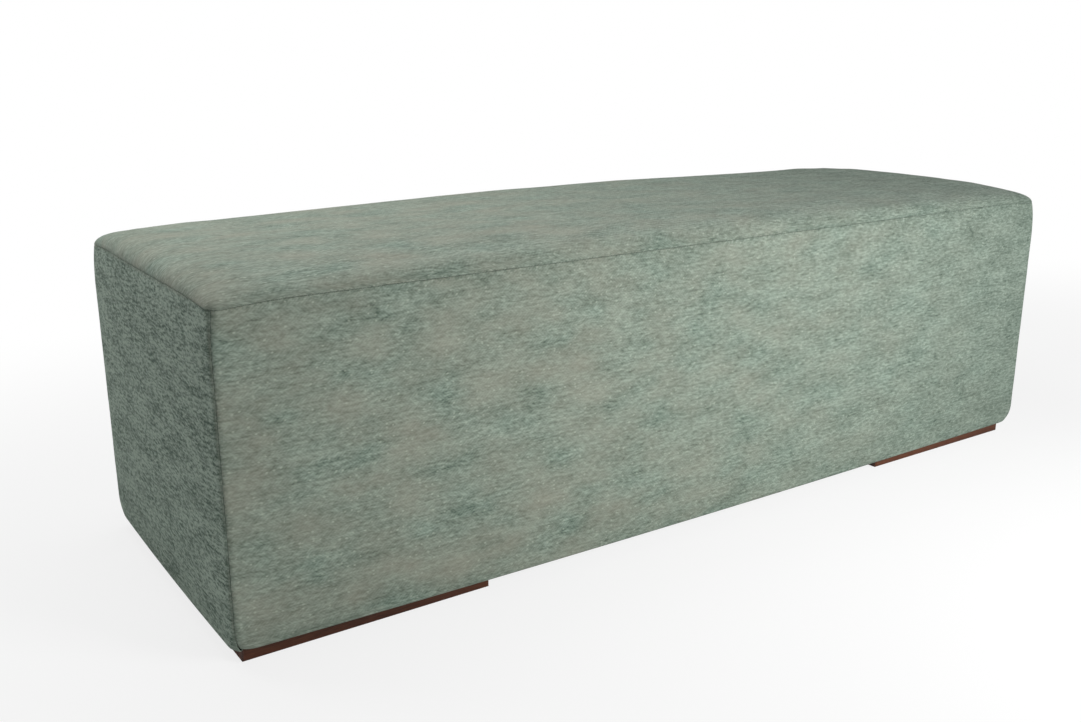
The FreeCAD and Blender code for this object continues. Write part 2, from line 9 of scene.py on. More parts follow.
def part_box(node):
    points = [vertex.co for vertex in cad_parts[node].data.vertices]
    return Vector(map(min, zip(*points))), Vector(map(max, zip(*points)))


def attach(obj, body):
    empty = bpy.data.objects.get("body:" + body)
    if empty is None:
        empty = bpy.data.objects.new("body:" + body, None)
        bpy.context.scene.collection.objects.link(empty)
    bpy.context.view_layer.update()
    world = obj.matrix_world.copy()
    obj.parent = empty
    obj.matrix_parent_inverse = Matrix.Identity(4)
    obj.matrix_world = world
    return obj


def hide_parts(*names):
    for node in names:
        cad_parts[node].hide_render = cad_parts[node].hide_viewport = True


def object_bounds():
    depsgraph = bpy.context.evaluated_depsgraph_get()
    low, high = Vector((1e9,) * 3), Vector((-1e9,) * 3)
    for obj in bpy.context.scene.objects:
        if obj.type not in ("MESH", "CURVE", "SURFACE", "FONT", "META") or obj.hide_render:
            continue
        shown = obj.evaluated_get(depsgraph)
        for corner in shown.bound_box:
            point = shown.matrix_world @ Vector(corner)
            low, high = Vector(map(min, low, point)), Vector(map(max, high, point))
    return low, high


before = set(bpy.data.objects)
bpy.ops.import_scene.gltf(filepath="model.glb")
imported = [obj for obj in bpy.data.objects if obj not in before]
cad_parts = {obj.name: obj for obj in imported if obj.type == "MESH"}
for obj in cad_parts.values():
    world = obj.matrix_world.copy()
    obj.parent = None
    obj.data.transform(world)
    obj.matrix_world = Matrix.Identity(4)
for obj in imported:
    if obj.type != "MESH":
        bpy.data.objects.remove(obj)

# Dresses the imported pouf: a sewn tweed cover of five panels over foam and wadding, its hems and dust
# cloth underneath, two stained plinths on felt, and the timber, boards and fasteners inside.
# Sizes are in metres. X runs along the length, Y from front to back, and the floor is at zero.

bl_info = {
    "name": "Upholstered Pouf",
    "version": (1, 0, 0),
    "blender": (4, 5, 0),
    "location": "3D Viewport > Sidebar > Pouf",
    "description": "Builds the upholstery, finishes and studio of a long tweed pouf",
    "category": "Object",
}

MM = 0.001
BODY = "root"
PANELS = ("top", "front", "back", "left", "right")
WEAVE_MAP = "Weave"
# Values on each point of the cover: its distance to the nearest seam, and its run along that seam.
SEAM_LAYERS = ("to_seam", "along_seam")
# Angles of the rolled cloth edge beside a seam that have a row of the mesh, from the seam out.
ROLL_ANGLES = (90, 60, 30, 0)
SETTLE_FRAMES = 20
CAD_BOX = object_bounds()
TOP_BOX, FRONT_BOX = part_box("cover_top"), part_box("cover_front")
DUST_BOX, PLINTH_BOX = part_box("dust_cover"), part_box("plinth_left_front")


def linear(hex_colour):
    """An sRGB hex colour as linear red, green and blue."""
    parts = [int(hex_colour[i:i + 2], 16) / 255 for i in (1, 3, 5)]
    return tuple(c / 12.92 if c <= 0.04045 else ((c + 0.055) / 1.055) ** 2.4 for c in parts)


def number(name, description, value, **settings):
    return FloatProperty(name=name, description=description, default=value, **settings)


def metres(name, description, value):
    return number(name, description, value, min=0, precision=4, unit="LENGTH")


def mm(name, description, value):
    return metres(name, description, value * MM)


def colour(name, description, hex_colour):
    return FloatVectorProperty(name=name, description=description, default=linear(hex_colour),
                               subtype="COLOR", min=0, max=1)


class PoufCover(bpy.types.PropertyGroup):
    """Sizes of the sewn cover."""
    length: metres("Length", "Covered block, end to end", CAD_BOX[1].x - CAD_BOX[0].x)
    depth: metres("Depth", "Covered block, front to back", CAD_BOX[1].y - CAD_BOX[0].y)
    seam_level: metres("Seam level", "Top seam over the floor", TOP_BOX[0].z)
    crown_level: metres("Crown level", "Flat of the seat over the floor", TOP_BOX[1].z + 3 * MM)
    lower_edge: metres("Lower edge", "Underside of the hems over the floor", FRONT_BOX[0].z)
    seam_tuck: mm("Seam tuck", "How far the sides are drawn in at the top seam", 2.5)
    foot_tuck: mm("Foot tuck", "How far the sides are drawn in at the lower edge", 2.5)
    lean_height: mm("Lean height", "Height over which the sides lean in below the seam", 50)
    foot_round: mm("Foot round", "Height over which the sides turn in at the lower edge", 26)
    side_radius: mm("Side corner", "Radius of the upright corners at half height", 9)
    seam_radius: mm("Seam corner", "Radius of the upright corners at the top seam", 13)
    foot_radius: mm("Foot corner", "Radius of the upright corners at the lower edge", 27)
    corner_growth: number("Corner growth", "Corner radius gained per distance in from the seam", 0.15, min=0)
    shoulder_run: mm("Shoulder run", "Width of the rounded shoulder above the seam", 22)
    crown_run: mm("Crown run", "Seam in to where the seat is level across", 110)
    corner_rise: mm("Corner rise", "Height of the shoulder over the seam at the corners", 18)
    end_rise: mm("End rise", "Height of the shoulder over the seam in the middle of an end", 24)
    long_run: mm("Long run", "End to where the seat has its full height", 650)
    corner_dip: mm("Corner dip", "How far the top seam is pulled down at the corners", 4)
    dip_width: mm("Dip width", "Length of seam that the pull at a corner reaches", 45)
    bow: mm("Bow", "How far the sides stand out in their middle, seen from above", 2.5)
    edge_sag: mm("Edge sag", "How far the lower edge hangs down midway along the pouf", 4)
    hem_width: mm("Hem", "Cover turned under the frame", 30)
    fold_radius: mm("Fold", "Radius of the turned lower edge", 3)
    groove: mm("Seam groove", "Radius of the rolled cloth edges beside a seam", 0.9)
    cloth_thick: mm("Cloth", "Thickness of the backed tweed", 1.4)
    coarse_step: mm("Mesh step", "Widest spacing of the mesh before it is subdivided", 13)
    top_swell: mm("Top swell", "Most that the stuffing swells the top panel", 3)
    side_swell: mm("Side swell", "Most that the foam swells a side panel", 3)
    ripple: mm("Ripple", "Height of the soft unevenness of the padding", 0.7)
    pucker: mm("Pucker", "Depth of the gathers beside a seam", 0.5)
    staple_pull: mm("Staple pull", "Depth of the pulls over the hem staples", 0.9)
    pull_pitch: mm("Pull pitch", "Spacing of the hem staples", 48)
    stitch_pitch: mm("Stitch pitch", "Length of one seam stitch with its gap", 4.5)
    stitch_thick: mm("Stitch thickness", "Diameter of the sewing thread", 0.5)


class PoufCloth(bpy.types.PropertyGroup):
    """Weave and colours of the tweed."""
    thread_pitch: mm("Thread pitch", "Spacing of the yarns", 1.1)
    band_threads: IntProperty(name="Band", description="Yarns before the twill turns back", default=8, min=2)
    slub_length: mm("Slub length", "Length of the thick places in a yarn", 12)
    slub_width: mm("Slub width", "Height of a thick place", 3.4)
    light_yarn: colour("Light yarn", "Grey green yarn", "#a4b4a6")
    dark_yarn: colour("Dark yarn", "Dark green yarn", "#4c5f53")
    warm_yarn: colour("Warm yarn", "Beige patches", "#a19d8e")
    nub: colour("Nubs", "Pale specks of raw wool", "#d3dccb")


class PoufFinishes(bpy.types.PropertyGroup):
    """Colours of the rest."""
    plinth_light: colour("Plinth, light grain", "Dark stained hardwood between the pores", "#6e4029")
    plinth_dark: colour("Plinth, dark grain", "Stain gathered in the pores", "#32190f")
    pine_light: colour("Pine, early wood", "Pale softwood", "#dcc196")
    pine_dark: colour("Pine, late wood", "Resinous growth rings", "#b78a54")
    thread: colour("Sewing thread", "Grey green polyester thread", "#66736a")
    dust_cloth: colour("Dust cloth", "Black spun cloth", "#1b1c1e")


class PoufStudio(bpy.types.PropertyGroup):
    """Lamps, world and camera."""
    key_power: number("Key lamp", "Soft box ahead and to the right", 13.8, unit="POWER")
    top_power: number("Top lamp", "Soft box over the pouf", 12, unit="POWER")
    side_power: number("Side lamp", "Soft box over the left end", 7.8, unit="POWER")
    world_strength: number("World", "Even light from all round", 0.145, min=0)
    lens: number("Lens", "Focal length on a 36 mm sensor", 37.3, unit="CAMERA")
    yaw: number("Yaw", "Camera turned right of the depth axis", math.radians(34.19), subtype="ANGLE")
    pitch: number("Pitch", "Camera tipped down", math.radians(15.92), subtype="ANGLE")


# Shared helpers

def add(tree, kind, inputs=None, out=0, **settings):
    """Add a shader node with its settings, inputs and links, and give one of its outputs."""
    node = tree.nodes.new("ShaderNode" + kind)
    for name, value in settings.items():
        setattr(node, name, value)
    for name, value in (inputs or {}).items():
        socket = node.inputs[name]
        if isinstance(value, bpy.types.NodeSocket):
            tree.links.new(value, socket)
        else:
            socket.default_value = (*value[:3], 1.0) if socket.type == "RGBA" else value
    return node.outputs[out] if node.outputs else node


def start_material(name):
    material = bpy.data.materials.new(name)
    material.use_nodes = True
    material.node_tree.nodes.clear()
    return material, material.node_tree


def object_point(tree, cell):
    """Object coordinates counted in cells, of one size or of a size for each axis."""
    place = add(tree, "TexCoord", out="Object")
    sizes = (cell,) * 3 if isinstance(cell, (int, float)) else cell
    return add(tree, "Mapping", {"Vector": place, "Scale": [1 / size for size in sizes]})


SURFACE_SOCKETS = {
    "roughness": "Roughness",
    "metallic": "Metallic",
    "specular": "Specular IOR Level",
    "sheen": "Sheen Weight",
    "sheen_roughness": "Sheen Roughness",
    "coat": "Coat Weight",
    "coat_roughness": "Coat Roughness",
}


def finish_material(material, base, height, depth, **surface):
    """Join a colour and a height in metres to one Principled surface."""
    tree = material.node_tree
    bump = add(tree, "Bump", {"Height": height, "Strength": 1.0, "Distance": depth})
    inputs = {"Base Color": base, "Normal": bump}
    inputs.update({SURFACE_SOCKETS[name]: value for name, value in surface.items()})
    shader = add(tree, "BsdfPrincipled", inputs)
    add(tree, "OutputMaterial", {"Surface": shader})
    return material


def speckled(name, cell, detail, dark, light, depth, grit=0.5, **surface):
    """A surface of two tones, mixed by one noise that also roughens it."""
    material, tree = start_material(name)
    specks = add(tree, "TexNoise", {"Vector": object_point(tree, cell), "Scale": 1.0, "Detail": detail,
                                    "Roughness": grit})
    base = add(tree, "Mix", {0: specks, 6: dark, 7: light}, out=2, data_type="RGBA")
    return finish_material(material, base, specks, depth, **surface)


def place_new(name, data):
    """An object of a mesh, lamp or camera, in the scene."""
    made = bpy.data.objects.new(name, data)
    bpy.context.scene.collection.objects.link(made)
    return made


def place_mesh(name, bm, material):
    """Turn a bmesh into an object in the scene."""
    mesh = bpy.data.meshes.new(name)
    bm.to_mesh(mesh)
    bm.free()
    mesh.materials.append(material)
    return place_new(name, mesh)


def make_object(name, bm, material):
    """Turn a bmesh into a finished object that rides on the pouf."""
    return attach(place_mesh(name, bm, material), BODY)


def smooth_faces(bm):
    for face in bm.faces:
        face.smooth = True


def modify(piece, kind, **settings):
    modifier = piece.modifiers.new(kind.title(), kind)
    for name, value in settings.items():
        setattr(modifier, name, value)
    return modifier


def ease(value):
    """Rise smoothly from 0 to 1."""
    value = min(max(value, 0.0), 1.0)
    return value * value * (3 - 2 * value)


# Form of the cover

def seam_layers(bm):
    return [bm.verts.layers.float[name] for name in SEAM_LAYERS]


def on_outline(cover, side, along, inset, radius, level):
    """A point on a level outline with rounded corners, at a share from -1 to 1 of one side's run."""
    bow_reach, least_radius = 40 * MM, 0.1 * MM
    halves = cover.length / 2 - inset, cover.depth / 2 - inset
    reach, offset = halves if side in ("front", "back") else halves[::-1]
    offset += cover.bow * (1 - along * along) * math.exp(-max(inset, 0) / bow_reach)
    radius = max(min(radius, reach, offset), least_radius)
    straight = reach - radius
    travel = abs(along) * (straight + radius * math.pi / 4)
    if travel <= straight:
        x, y = travel, offset
    else:
        angle = (travel - straight) / radius
        x, y = straight + radius * math.sin(angle), offset - radius * (1 - math.cos(angle))
    x = math.copysign(x, along)
    return Vector({"front": (x, -y, level), "back": (-x, y, level),
                   "right": (y, x, level), "left": (-y, -x, level)}[side])


def half_run(cover, side):
    """Half of one side's run along the top seam, from the middle to the corner's apex."""
    reach = (cover.length if side in ("front", "back") else cover.depth) / 2 - cover.seam_tuck
    return reach - cover.seam_radius * (1 - math.pi / 4)


def edge_distances(cover, half):
    """Distances in from a seam to the middle: close over the rolled edge, then wider and wider."""
    rolled = [cover.groove * (1 - math.sin(math.radians(angle))) for angle in ROLL_ANGLES]
    reach, step, widening, wider = cover.groove, cover.groove, 1.3, []
    while reach < half:
        reach += step
        wider.append(reach)
        step = min(step * widening, cover.coarse_step)
    squeeze = (half - cover.groove) / (reach - cover.groove)
    return rolled + [cover.groove + (value - cover.groove) * squeeze for value in wider]


def shares(cover, half):
    """Shares from -1 to 1 of a run between two seams."""
    rising = [value / half - 1 for value in edge_distances(cover, half)]
    return rising + [-value for value in reversed(rising[:-1])]


def side_profile(cover, level):
    """Inset and corner radius of the sides at a level."""
    foot = (1 - min(1, (level - cover.lower_edge) / cover.foot_round)) ** 2
    lean = max(0, (level - cover.seam_level + cover.lean_height) / cover.lean_height) ** 2
    inset = foot * cover.foot_tuck + lean * cover.seam_tuck
    radius = cover.side_radius + foot * (cover.foot_radius - cover.side_radius)
    return inset, radius + lean * (cover.seam_radius - cover.side_radius)


def side_rows(cover):
    """Rows of a side panel from the hem's raw edge up to the seam: level, inset, radius, cloth run."""
    hem_rows, fold_angles = 4, (0, 30, 60, 90)
    rows = []
    for step in range(hem_rows):
        under = (cover.hem_width - cover.fold_radius) * (1 - step / hem_rows)
        rows.append((cover.lower_edge, cover.foot_tuck + cover.fold_radius + under,
                     cover.foot_radius - cover.fold_radius - under))
    for angle in map(math.radians, fold_angles):
        turn = cover.fold_radius * (1 - math.sin(angle))
        level = cover.lower_edge + cover.fold_radius * (1 - math.cos(angle))
        inset, radius = side_profile(cover, level)
        rows.append((level, inset + turn, radius - turn))
    half = (cover.seam_level - cover.lower_edge - cover.fold_radius) / 2
    middle = cover.seam_level - half
    widening = edge_distances(cover, half)
    levels = [middle - half + value for value in widening[len(ROLL_ANGLES):]]
    levels += [middle + half - value for value in reversed(widening[:-1])]
    rows += [(level, *side_profile(cover, level)) for level in levels]
    runs = [0.0]
    for (low, out, _), (high, further, _) in zip(rows, rows[1:]):
        runs.append(runs[-1] + math.hypot(high - low, further - out))
    return [(*row, run - runs[-1]) for row, run in zip(rows, runs)]


def fullness(cover, x, y):
    """Height of the stuffed seat over the seam at a place: least at the corners, full along the middle."""
    full = cover.crown_level - cover.seam_level
    lengthwise = ease((cover.length / 2 - abs(x)) / cover.long_run)
    across = max(0, 1 - (2 * y / cover.depth) ** 2)
    across *= (cover.end_rise - cover.corner_rise) / (full - cover.corner_rise)
    return cover.corner_rise + (full - cover.corner_rise) * (1 - (1 - lengthwise) * (1 - across))


def shoulder(cover, away):
    """Share of the fullness at a distance in from the seam: a round shoulder, then a slight crown."""
    near, far = (max(0, 1 - away / run) for run in (cover.shoulder_run, cover.crown_run))
    crown_share = 0.07
    return (1 - crown_share) * math.sqrt(1 - near * near) + crown_share * (1 - far * far)


def seam_dip(cover, from_corner, away=0.0):
    """How far the pull of a corner lowers the cloth."""
    return cover.corner_dip * math.exp(-(from_corner ** 2 + away ** 2) / cover.dip_width ** 2)


def edge_sag(cover, x):
    """How far the lower edge hangs below the frame at a place along the pouf."""
    return cover.edge_sag * max(0, 1 - (2 * x / cover.length) ** 2)


def slackness(cover):
    """Share of its height that the top panel has before the stuffing swells it."""
    return 1 - cover.top_swell / (cover.crown_level - cover.seam_level)


def draw_in(point, half_x, half_y, radius):
    """Move a point in to a rectangle with rounded corners, seen from above."""
    x, y = min(abs(point.x), half_x), min(abs(point.y), half_y)
    corner = Vector((x - half_x + radius, y - half_y + radius))
    if min(corner) > 0 and corner.length > radius:
        corner *= radius / corner.length
        x, y = half_x - radius + corner.x, half_y - radius + corner.y
    point.x, point.y = math.copysign(x, point.x), math.copysign(y, point.y)


def ceiling(cover, x, y):
    """Level of the unswollen top panel over a place."""
    in_x = cover.length / 2 - cover.seam_tuck - abs(x)
    in_y = cover.depth / 2 - cover.seam_tuck - abs(y)
    away = max(0, min(in_x, in_y))
    rise = fullness(cover, x, y) * shoulder(cover, away) * slackness(cover)
    return cover.seam_level + rise - seam_dip(cover, max(in_x, in_y), away)


def crown_profile(cover):
    """Cloth run against distance in, from the seam to the middle, over a shoulder of full height."""
    bend_steps, level_steps = 12, 60
    full, bend = cover.crown_level - cover.seam_level, cover.shoulder_run
    reach = cover.depth / 2 - cover.seam_tuck
    steps = [bend * (1 - math.cos(math.radians(90 * step / bend_steps))) for step in range(bend_steps + 1)]
    steps += [bend + (reach - bend) * step / level_steps for step in range(1, level_steps + 1)]
    points = [(away, full * shoulder(cover, away)) for away in steps]
    runs = [0.0]
    for start, end in zip(points, points[1:]):
        runs.append(runs[-1] + math.dist(start, end))
    return list(zip(runs, steps))


def between(table, run):
    """Value of a table at a run along it."""
    for low, high in zip(table, table[1:]):
        if run <= high[0]:
            return low[1] + (high[1] - low[1]) * (run - low[0]) / (high[0] - low[0])
    return table[-1][1]


def lay_panel(bm, panel, columns, rows, place):
    """Add a panel: place gives each point, its weave coordinates and its values for the seam layers."""
    weave = bm.loops.layers.uv[WEAVE_MAP]
    panel_of = bm.faces.layers.int["panel"]
    to_seam, along_seam = seam_layers(bm)
    grid = bmesh.ops.create_grid(bm, x_segments=len(columns) - 1, y_segments=len(rows) - 1, size=1)
    on_cloth = {}
    for vert in grid["verts"]:
        column = columns[round((vert.co.x + 1) / 2 * (len(columns) - 1))]
        row = rows[round((vert.co.y + 1) / 2 * (len(rows) - 1))]
        vert.co, on_cloth[vert], vert[to_seam], vert[along_seam] = place(column, row)
    for face in {face for vert in grid["verts"] for face in vert.link_faces}:
        face[panel_of] = PANELS.index(panel)
        for loop in face.loops:
            loop[weave].uv = on_cloth[loop.vert]


def lay_side(bm, cover, side, columns, rows):
    half = half_run(cover, side)
    height = cover.seam_level - cover.lower_edge

    def place(along, row):
        level, inset, radius, run = row
        to_corner = (1 - abs(along)) * half
        up = (level - cover.lower_edge) / height
        # A corner's pull fades quickly down the panel, and the sag of the lower edge fades up it.
        dip = seam_dip(cover, to_corner) * up ** 4
        sag = edge_sag(cover, half if side == "right" else -half if side == "left" else along * half)
        point = on_outline(cover, side, along, inset, radius, level - dip - sag * (1 - up) ** 6)
        if -run < to_corner:
            return point, (along * half, run), -run, along * half
        return point, (along * half, run), to_corner, run

    lay_panel(bm, side, columns, rows, place)


def lay_top(bm, cover, columns, rows):
    profile = crown_profile(cover)
    half_x, half_y = half_run(cover, "front"), half_run(cover, "left")
    stretch = profile[-1][0] / half_y

    def place(column, row):
        x, y = column * half_x, row * half_y
        in_x, in_y = half_x - abs(x), half_y - abs(y)
        run = min(in_x, in_y)
        if in_y <= in_x:
            sides, seam_run, outward, half = ("front", "back"), x, -y, half_x
        else:
            sides, seam_run, outward, half = ("right", "left"), y, x, half_y
        side, turn = (sides[0], 1) if outward > 0 else (sides[1], -1)
        along = turn * seam_run / max(half - run, 1e-6)
        from_corner = (1 - abs(along)) * half
        away = between(profile, run * stretch)
        radius = cover.seam_radius + cover.corner_growth * away
        point = on_outline(cover, side, min(max(along, -1), 1), cover.seam_tuck + away, radius, 0)
        rise = fullness(cover, point.x, point.y) * shoulder(cover, away) * slackness(cover)
        point.z = cover.seam_level + rise - seam_dip(cover, from_corner, away)
        return point, (x, y), run * stretch, seam_run

    lay_panel(bm, "top", columns, rows, place)


def lay_cover(cover):
    """The whole cover as one sewn skin, open underneath, with its panels marked on the faces."""
    bm = bmesh.new()
    bm.loops.layers.uv.new(WEAVE_MAP)
    bm.faces.layers.int.new("panel")
    for name in SEAM_LAYERS:
        bm.verts.layers.float.new(name)
    long_columns, short_columns = (shares(cover, half_run(cover, side)) for side in ("front", "left"))
    lay_top(bm, cover, long_columns, short_columns)
    rows = side_rows(cover)
    for side in PANELS[1:]:
        lay_side(bm, cover, side, long_columns if side in ("front", "back") else short_columns, rows)
    bmesh.ops.remove_doubles(bm, verts=bm.verts, dist=0.02 * MM)
    bmesh.ops.recalc_face_normals(bm, faces=bm.faces)
    bm.faces.ensure_lookup_table()
    if max(bm.faces, key=lambda face: face.calc_center_median().z).normal.z < 0:
        bmesh.ops.reverse_faces(bm, faces=bm.faces)
    return bm


def swell_cover(cover, bm):
    """Press the stuffing out against the cloth: cloth simulation with the seams and hems held."""
    mesh = bpy.data.meshes.new("swelling")
    bm.to_mesh(mesh)
    skin = place_new("swelling", mesh)
    to_seam, _ = seam_layers(bm)
    held = skin.vertex_groups.new(name="held")
    near_seam, near_hem = 2.5 * cover.groove, cover.lower_edge + 1.5 * cover.foot_round
    stiff = [vert.index for vert in bm.verts if vert[to_seam] < near_seam or vert.co.z < near_hem]
    held.add(stiff, 1.0, "REPLACE")
    simulation = modify(skin, "CLOTH")
    simulation.collision_settings.use_collision = False
    cloth = simulation.settings
    cloth.quality = 4
    cloth.mass = 0.3
    cloth.tension_stiffness = cloth.compression_stiffness = 25
    cloth.bending_stiffness = 1.5
    cloth.vertex_group_mass = held.name
    cloth.use_pressure = True
    cloth.uniform_pressure_force = 4
    cloth.effector_weights.gravity = 0
    for moment in range(1, SETTLE_FRAMES + 1):
        bpy.context.scene.frame_set(moment)
    swollen = skin.evaluated_get(bpy.context.evaluated_depsgraph_get()).data
    bm.normal_update()
    # Only the outward part counts, up to a limit, so that the stuffing never shows through.
    outward = [vert.normal.dot(moved.co - vert.co) for vert, moved in zip(bm.verts, swollen.vertices)]
    for vert, push in zip(bm.verts, outward):
        most = cover.top_swell if vert.co.z > cover.seam_level else cover.side_swell
        vert.co += vert.normal * most * math.tanh(max(push, 0) / most)
    bpy.context.scene.frame_set(1)
    bpy.data.objects.remove(skin)
    bpy.data.meshes.remove(mesh)


def roll_seams(cover, bm):
    """Roll the cloth in at the seams, with gathers beside them, pulls over the staples and soft ripples."""
    gather_pitch, gather_reach, pull_reach, ripple_reach = 22 * MM, 14 * MM, 16 * MM, 30 * MM
    wide_ripple, narrow_ripple = 160 * MM, 60 * MM
    to_seam, along_seam = seam_layers(bm)
    bm.normal_update()
    shifts = {}
    for vert in bm.verts:
        away, along = vert[to_seam], vert[along_seam]
        inward = max(0, 1 - away / cover.groove)
        depth = cover.groove * (1 - math.sqrt(1 - inward ** 2))
        gather = noise.noise(Vector((along / gather_pitch, vert.co.z * 3, 7)))
        depth += cover.pucker * gather * math.exp(-away / gather_reach) * ease(away / cover.groove)
        over_edge = vert.co.z - cover.lower_edge
        if over_edge > cover.fold_radius:
            run = vert.co.x if abs(vert.normal.y) > abs(vert.normal.x) else vert.co.y
            pull = 0.5 + 0.5 * math.cos(2 * math.pi * run / cover.pull_pitch)
            depth += cover.staple_pull * pull * math.exp(-over_edge / pull_reach)
            wide, narrow = noise.noise(vert.co / wide_ripple), noise.noise(vert.co / narrow_ripple)
            depth += cover.ripple * (wide + 0.5 * narrow) * ease(away / ripple_reach)
        shifts[vert] = vert.normal * -depth
    for vert, shift in shifts.items():
        vert.co += shift


def cut_panel(bm, index):
    """One panel of the sewn skin by itself, its seam edges just clear of the next panel's."""
    on_seam, clearance = 0.01 * MM, 0.12 * MM
    piece = bm.copy()
    panel_of = piece.faces.layers.int["panel"]
    to_seam, _ = seam_layers(piece)
    others = [face for face in piece.faces if face[panel_of] != index]
    bmesh.ops.delete(piece, geom=others, context="FACES")
    for vert in piece.verts:
        if vert.is_boundary and vert[to_seam] < on_seam:
            inner = [edge.other_vert(vert).co for edge in vert.link_edges if not edge.is_boundary]
            if inner:
                middle = sum(inner, Vector()) / len(inner)
                vert.co += (middle - vert.co).normalized() * clearance
    smooth_faces(piece)
    return piece


def flecks(tree, weave, long, wide, detail, roughness=0.5, turn=0.0):
    """Unevenness of the cloth in flecks that lie along the weave, of a length and a width."""
    place = add(tree, "Mapping", {"Vector": weave, "Rotation": (0, 0, turn),
                                  "Scale": (1 / long, 1 / wide, 1)})
    return add(tree, "TexNoise", {"Vector": place, "Scale": 1.0, "Detail": detail, "Roughness": roughness})


def twill(tree, weave, cloth):
    """Where the warp shows in the herringbone, and how round the yarns stand."""
    in_yarns = add(tree, "Mapping", {"Vector": weave, "Scale": (1 / cloth.thread_pitch,) * 3})
    ends, picks = (add(tree, "SeparateXYZ", {0: in_yarns}, out=axis) for axis in "XY")
    # The twill steps one yarn a row, and turns back after each band of rows.
    back_and_forth = add(tree, "Math", {0: picks, 1: cloth.band_threads}, operation="PINGPONG")
    diagonal = add(tree, "Math", {0: ends, 1: back_and_forth}, operation="ADD")
    over = add(tree, "Math", {0: diagonal, 1: 2.0}, operation="PINGPONG")
    warp_shows = add(tree, "MapRange", {"Value": over, "From Min": 0.75, "From Max": 1.25})
    warp_round, weft_round = (add(tree, "Math", {0: yarns, 1: 0.5}, operation="PINGPONG")
                              for yarns in (ends, picks))
    return warp_shows, add(tree, "Mix", {0: warp_shows, 2: weft_round, 3: warp_round})


def end_panels(tree, cover):
    """1 on the two end panels, up to the top seam, and 0 elsewhere."""
    facing = add(tree, "SeparateXYZ", {0: add(tree, "NewGeometry", out="Normal")}, out="X")
    facing = add(tree, "Math", {0: facing}, operation="ABSOLUTE")
    facing = add(tree, "MapRange", {"Value": facing, "From Min": 0.8, "From Max": 0.98})
    level = add(tree, "SeparateXYZ", {0: add(tree, "TexCoord", out="Object")}, out="Z")
    under_seam = add(tree, "MapRange", {"Value": level, "From Min": cover.seam_level - MM,
                                        "From Max": cover.seam_level - cover.corner_dip})
    return add(tree, "Math", {0: facing, 1: under_seam}, operation="MULTIPLY")


def wool_nubs(tree, weave):
    """Specks of raw wool on the yarns, about one in each square of 20 mm."""
    cells = add(tree, "Mapping", {"Vector": weave, "Scale": (1 / (7.8 * MM), 1 / (5.8 * MM), 1)})
    away, chance = (add(tree, "TexVoronoi", {"Vector": cells, "Scale": 1.0}, out=out, voronoi_dimensions="2D")
                    for out in ("Distance", "Color"))
    chance = add(tree, "SeparateColor", {0: chance})
    picked = add(tree, "Math", {0: chance, 1: 0.88}, operation="GREATER_THAN")
    nubs = add(tree, "MapRange", {"Value": away, "From Min": 0.28, "From Max": 0.06})
    return add(tree, "Math", {0: nubs, 1: picked}, operation="MULTIPLY")


def seam_dimples_and_shade(tree, weave, cover):
    """The dimples of the stitches in the rolled edge, and painted seam shade: these dimples with dark spots
    in a band beside the seam.
    """
    away, along = (add(tree, "Attribute", out="Fac", attribute_name=name) for name in SEAM_LAYERS)
    in_groove = add(tree, "MapRange", {"Value": away, "From Min": 1.6 * cover.groove,
                                       "From Max": 0.2 * cover.groove})
    stitch = add(tree, "Math", {0: along, 1: 2 * math.pi / cover.stitch_pitch}, operation="MULTIPLY")
    stitch = add(tree, "Math", {0: stitch}, operation="SINE")
    stitch = add(tree, "Math", {0: stitch, 1: 0.05, 2: 0.08}, operation="MULTIPLY_ADD")
    dimple = add(tree, "Math", {0: stitch, 1: in_groove}, operation="MULTIPLY")
    # Painted shade: dark spots within 7 mm of the seam, where the cloth turns over the edge.
    beside_seam = add(tree, "MapRange", {"Value": away, "From Min": 7 * MM, "From Max": 1 * MM})
    spots = add(tree, "MapRange", {"Value": flecks(tree, weave, 4 * MM, 4 * MM, 1), "From Min": 0.48,
                                   "From Max": 0.66, "To Max": 0.5})
    shade_beside_seam = add(tree, "Math", {0: beside_seam, 1: spots}, operation="MULTIPLY")
    return dimple, add(tree, "Math", {0: dimple, 1: shade_beside_seam}, operation="MAXIMUM")


